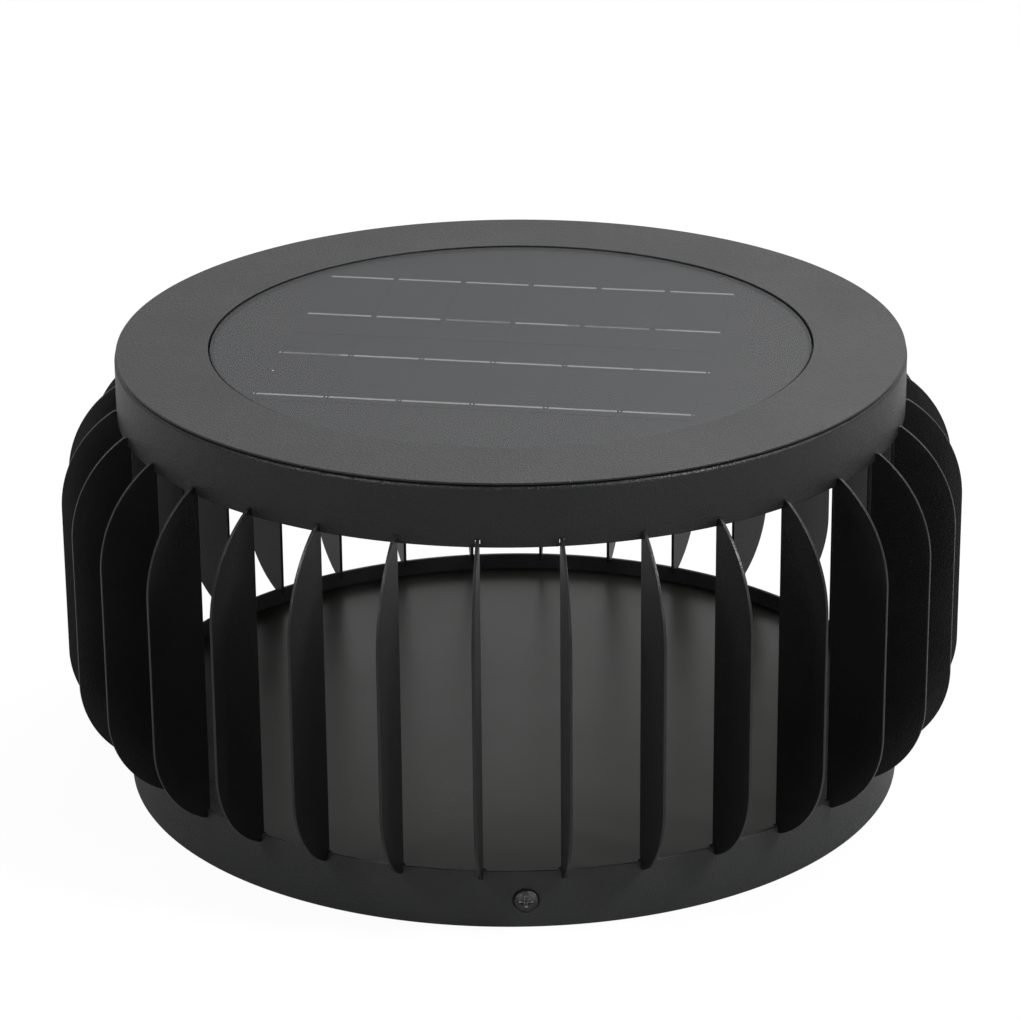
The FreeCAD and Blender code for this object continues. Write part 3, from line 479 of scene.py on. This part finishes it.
def slotStations(halfWidth, between, extra=()):
    # columns round the drum: two at each slot's sides, even ones between, and any extra ones that
    # stay clear of both
    clear = 0.06
    sides = [(azimuth - halfWidth, azimuth + halfWidth) for azimuth in finAzimuths]
    stations = [side for pair in sides for side in pair]
    pitch = 360 / len(sides)
    for low, high in sides:
        stations += [high + (pitch - 2 * halfWidth) * step / between for step in range(1, between)]
    spare = [spot for spot in extra
             if all(abs((spot - side + 180) % 360 - 180) > clear for side in stations)]
    stations = sorted(spot % 360 for spot in stations + spare)

    def isSlot(column):
        start = stations[column]
        width = (stations[(column + 1) % len(stations)] - start) % 360
        middle = start + width / 2
        return any(abs((middle - azimuth + 180) % 360 - 180) < halfWidth for azimuth in finAzimuths)
    return stations, isSlot


def slotAngle(gap):
    # half of a slot's width in degrees: a fin and its gap on each side
    return math.degrees((finHalf + gap) / drumRadius)


def makeCapSkin():
    cap = {"wall": 1.5, "slotDepth": 3, "slotGap": 0.3, "panelGap": 0.7, "ledgeDepth": 3.5,
           "ledgeWidth": 7.5, "lidInset": 0.5, "lidEdge": 0.7, "seamHeight": 0.5, "seamDepth": 1.1,
           "shoulder": 1.5, "softEdge": 0.3}
    cap = {key: size * mm for key, size in cap.items()}
    low, top = capLow.z, capHigh.z
    inner = drumRadius - cap["wall"]
    opening = coverHigh.x + cap["panelGap"]
    lid = drumRadius - cap["lidInset"]
    seamTop = top - cap["lidEdge"]
    seamLow = seamTop - cap["seamHeight"]
    roof = low + cap["slotDepth"]
    ledge = top - cap["ledgeDepth"]
    soft = cap["softEdge"]
    profile = roundedProfile([
        (inner, roof, 0),
        (inner, low, soft),
        (drumRadius, low, soft),
        (drumRadius, roof, 0),
        (drumRadius, seamLow, cap["shoulder"]),
        (lid - cap["seamDepth"], seamLow, 0),
        (lid - cap["seamDepth"], seamTop, 0),
        (lid, seamTop, 0),
        (lid, top, soft),
        (opening, top, soft),
        (opening, ledge, 0),
        (opening - cap["ledgeWidth"], ledge, 0),
        (opening - cap["ledgeWidth"], ledge - cap["wall"], 0),
        (opening + cap["wall"], ledge - cap["wall"], 0),
        (opening + cap["wall"], top - cap["wall"], 0),
        (inner, top - cap["wall"], 0),
    ])
    stations, isSlot = slotStations(slotAngle(cap["slotGap"]), 12)
    skin = latheShell("capSkin", profile, stations, isSlot, (0, nearest(profile, drumRadius, roof)))
    skin.data.materials.append(finishes["drumCoat"])
    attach(skin, "lamp")
    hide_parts("cap_shell")


def makeBaseSkin():
    base = {"wall": 1.5, "slotDepth": 3, "slotGap": 0.05, "softEdge": 0.35,
            "dimpleMouth": 5.3, "dimpleFloor": 4.4, "dimpleDepth": 0.8, "mesh": 0.45, "field": 6.3}
    base = {key: size * mm for key, size in base.items()}
    top = drumHigh.z
    inner = drumRadius - base["wall"]
    shelf = top - base["slotDepth"]
    soft = base["softEdge"]
    rows = int(2 * base["field"] / base["mesh"])
    heights = [screwHeight + base["field"] * (2 * row / rows - 1) for row in range(rows + 1)]
    profile = roundedProfile(
        [(drumRadius, shelf, 0), (drumRadius, top, soft), (inner, top, soft), (inner, shelf, 0)]
        + [(inner, height, 0) for height in reversed(heights)]
        + [(inner, 0, soft), (drumRadius, 0, soft)]
        + [(drumRadius, height, 0) for height in heights])
    spread = math.degrees(base["field"] / drumRadius)
    extra = [screw + spread * (2 * row / rows - 1) for screw in screwAzimuths for row in range(rows + 1)]
    stations, isSlot = slotStations(slotAngle(base["slotGap"]), 10, extra)

    def dimple(azimuth, height):
        across = min(abs((azimuth - screw + 180) % 360 - 180) for screw in screwAzimuths)
        away = math.hypot(math.radians(across) * drumRadius, height - screwHeight)
        part = (base["dimpleMouth"] - away) / (base["dimpleMouth"] - base["dimpleFloor"])
        part = min(max(part, 0), 1)
        return base["dimpleDepth"] * part * part * (3 - 2 * part)

    skin = latheShell("baseSkin", profile, stations, isSlot, (0, nearest(profile, inner, shelf)), dimple)
    # the base skin gets the lighter coat, which holds painted light
    skin.data.materials.append(finishes["baseCoatPaintedLight"])
    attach(skin, "lamp")
    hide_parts("base_drum")


def addScrewCrossGlints():
    # bright metal laid in each cross recess, sunk towards its middle: a painted glint for the light that
    # the recess catches
    cross = {"seat": 149.2, "floor": 1.05, "sink": 0.35, "long": 2.5, "short": 0.55, "thick": 0.1}
    cross = {key: size * mm for key, size in cross.items()}
    quarter = [(cross["long"], cross["short"]), (cross["short"], cross["short"]),
               (cross["short"], cross["long"])]
    outline = [Matrix.Rotation(math.radians(turn), 2) @ Vector(corner) for turn in range(0, 360, 90)
               for corner in quarter]
    vertices, faces = [], []
    for screw in screwAzimuths:
        turn = Matrix.Rotation(math.radians(screw), 3, "Z")
        rim = cross["seat"] + cross["floor"]
        first = len(vertices)
        vertices += [turn @ Vector((spot.x, -rim, screwHeight + spot.y)) for spot in outline]
        vertices.append(turn @ Vector((0, cross["sink"] - rim, screwHeight)))
        middle = len(vertices) - 1
        faces += [(first + step, first + (step + 1) % len(outline), middle) for step in range(len(outline))]
    mesh = bpy.data.meshes.new("screwCrossGlints")
    mesh.from_pydata(vertices, [], faces)
    crossGlints = bpy.data.objects.new("screwCrossGlints", mesh)
    bpy.context.scene.collection.objects.link(crossGlints)
    plate = crossGlints.modifiers.new("plate", "SOLIDIFY")
    plate.thickness = cross["thick"]
    mesh.materials.append(finishes["glintMetal"])
    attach(crossGlints, "lamp")


def addSolderDots():
    # little drops of solder beside the ribbons' ends, on the two front lines, and one stray drop
    panel = {"turn": 11, "shift": 3, "cellPitch": 27.15, "linePitch": 45.5, "size": 0.55, "rise": 0.12,
             "sink": 0.05}
    draw = random.Random(3)
    spots = [((column - 3) * panel["cellPitch"] - panel["shift"], line * panel["linePitch"])
             for line in (-1.5, -0.5) for column in range(7)]
    spots.append((-3.05 * panel["cellPitch"], -0.95 * panel["linePitch"]))
    turn = Matrix.Rotation(-math.radians(panel["turn"]), 3, "Z")
    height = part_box("cell_ribbons")[1].z
    sides = 10
    vertices, faces = [], []
    for along, across in spots:
        size = panel["size"] * mm * draw.uniform(0.6, 1.1)
        centre = turn @ Vector((along * mm, across * mm, 0)) + Vector((0, 0, height - panel["sink"] * mm))
        first = len(vertices)
        for reach, lift in ((1.0, 0.0), (0.6, 0.7)):
            for step in range(sides):
                spin = 2 * math.pi * step / sides
                outward = Vector((math.cos(spin), math.sin(spin), 0)) * size * reach
                vertices.append(centre + outward + Vector((0, 0, lift * panel["rise"] * mm)))
        for step in range(sides):
            following = (step + 1) % sides
            faces.append((first + step, first + following, first + sides + following, first + sides + step))
        faces.append([first + sides + step for step in range(sides)])
        faces.append([first + step for step in reversed(range(sides))])
    mesh = bpy.data.meshes.new("solderDots")
    mesh.from_pydata(vertices, [], faces)
    mesh.shade_smooth()
    dots = bpy.data.objects.new("solderDots", mesh)
    bpy.context.scene.collection.objects.link(dots)
    mesh.materials.append(finishes["tinRibbon"])
    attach(dots, "lamp")


def addBeads(name, radius, height, sizes, rise):
    # small tack welds, coated over, one on each side of every fin
    draw = random.Random(7)
    rings, sides = 5, 8
    vertices, faces = [], []
    for azimuth in finAzimuths:
        for side in (-1, 1):
            size = draw.uniform(*sizes)
            turn = math.radians(azimuth) + side * (finHalf + size * 0.3) / radius
            centre = Vector((radius * math.sin(turn), -radius * math.cos(turn), height))
            first = len(vertices)
            vertices.append(centre + Vector((0, 0, size * rise)))
            for level in range(1, rings):
                tilt = math.pi * level / rings
                for step in range(sides):
                    spin = 2 * math.pi * step / sides
                    bump = draw.uniform(0.9, 1.1)
                    vertices.append(centre + Vector((size * bump * math.sin(tilt) * math.cos(spin),
                                                     size * bump * math.sin(tilt) * math.sin(spin),
                                                     size * rise * math.cos(tilt))))
            last = len(vertices)
            vertices.append(centre - Vector((0, 0, size * rise)))
            for step in range(sides):
                following = (step + 1) % sides
                faces.append((first, first + 1 + step, first + 1 + following))
                for level in range(rings - 2):
                    here = first + 1 + level * sides
                    below = here + sides
                    faces.append((here + step, below + step, below + following, here + following))
                here = last - sides
                faces.append((here + step, last, here + following))
    mesh = bpy.data.meshes.new(name)
    mesh.from_pydata(vertices, [], faces)
    mesh.shade_smooth()
    beads = bpy.data.objects.new(name, mesh)
    bpy.context.scene.collection.objects.link(beads)
    # the beads get the same lighter coat, which holds painted light
    mesh.materials.append(finishes["baseCoatPaintedLight"])
    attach(beads, "lamp")


def softenNode(name, width):
    # rounds a CAD node's sharp edges as a press or a coat leaves them
    node = nodes[name]
    weld = node.modifiers.new("weld", "WELD")
    weld.merge_threshold = 0.002 * mm
    bevel = node.modifiers.new("edgeRound", "BEVEL")
    bevel.width = width
    bevel.segments = 3
    bevel.limit_method = "ANGLE"
    bevel.angle_limit = math.radians(35)
    bevel.use_clamp_overlap = True
    bevel.harden_normals = False
    shade = node.modifiers.new("evenNormals", "WEIGHTED_NORMAL")
    shade.keep_sharp = False
    shade.weight = 100


def finishNodes():
    for name, node in nodes.items():
        finish = finishes["finCoat" if name in finNames else finishOf[name]]
        node.data.materials.clear()
        node.data.materials.append(finish)
        node.data.polygons.foreach_set("material_index", [0] * len(node.data.polygons))


finishNodes()
for finName in finNames:
    softenNode(finName, 0.22 * mm)
for nodeName, width in (("panel_cover", 0.25), ("side_screws", 0.12), ("diffuser", 0.3),
                        ("underplate", 0.3), ("mounting_plate", 0.3)):
    softenNode(nodeName, width * mm)
makeCapSkin()
makeBaseSkin()
weldRadius = drumRadius - 1.6 * mm
for weldName, height, sizes in (("baseWelds", drumHigh.z - 0.3 * mm, (0.6, 1.1)),
                                ("capWelds", capLow.z + 0.2 * mm, (0.4, 0.8))):
    addBeads(weldName, weldRadius, height, [size * mm for size in sizes], 0.8)
addScrewCrossGlints()
addSolderDots()
print("drums, welds and small parts made")

addStudio()
addCamera()
bpy.context.scene.view_settings.view_transform = "Standard"
print("studio set")
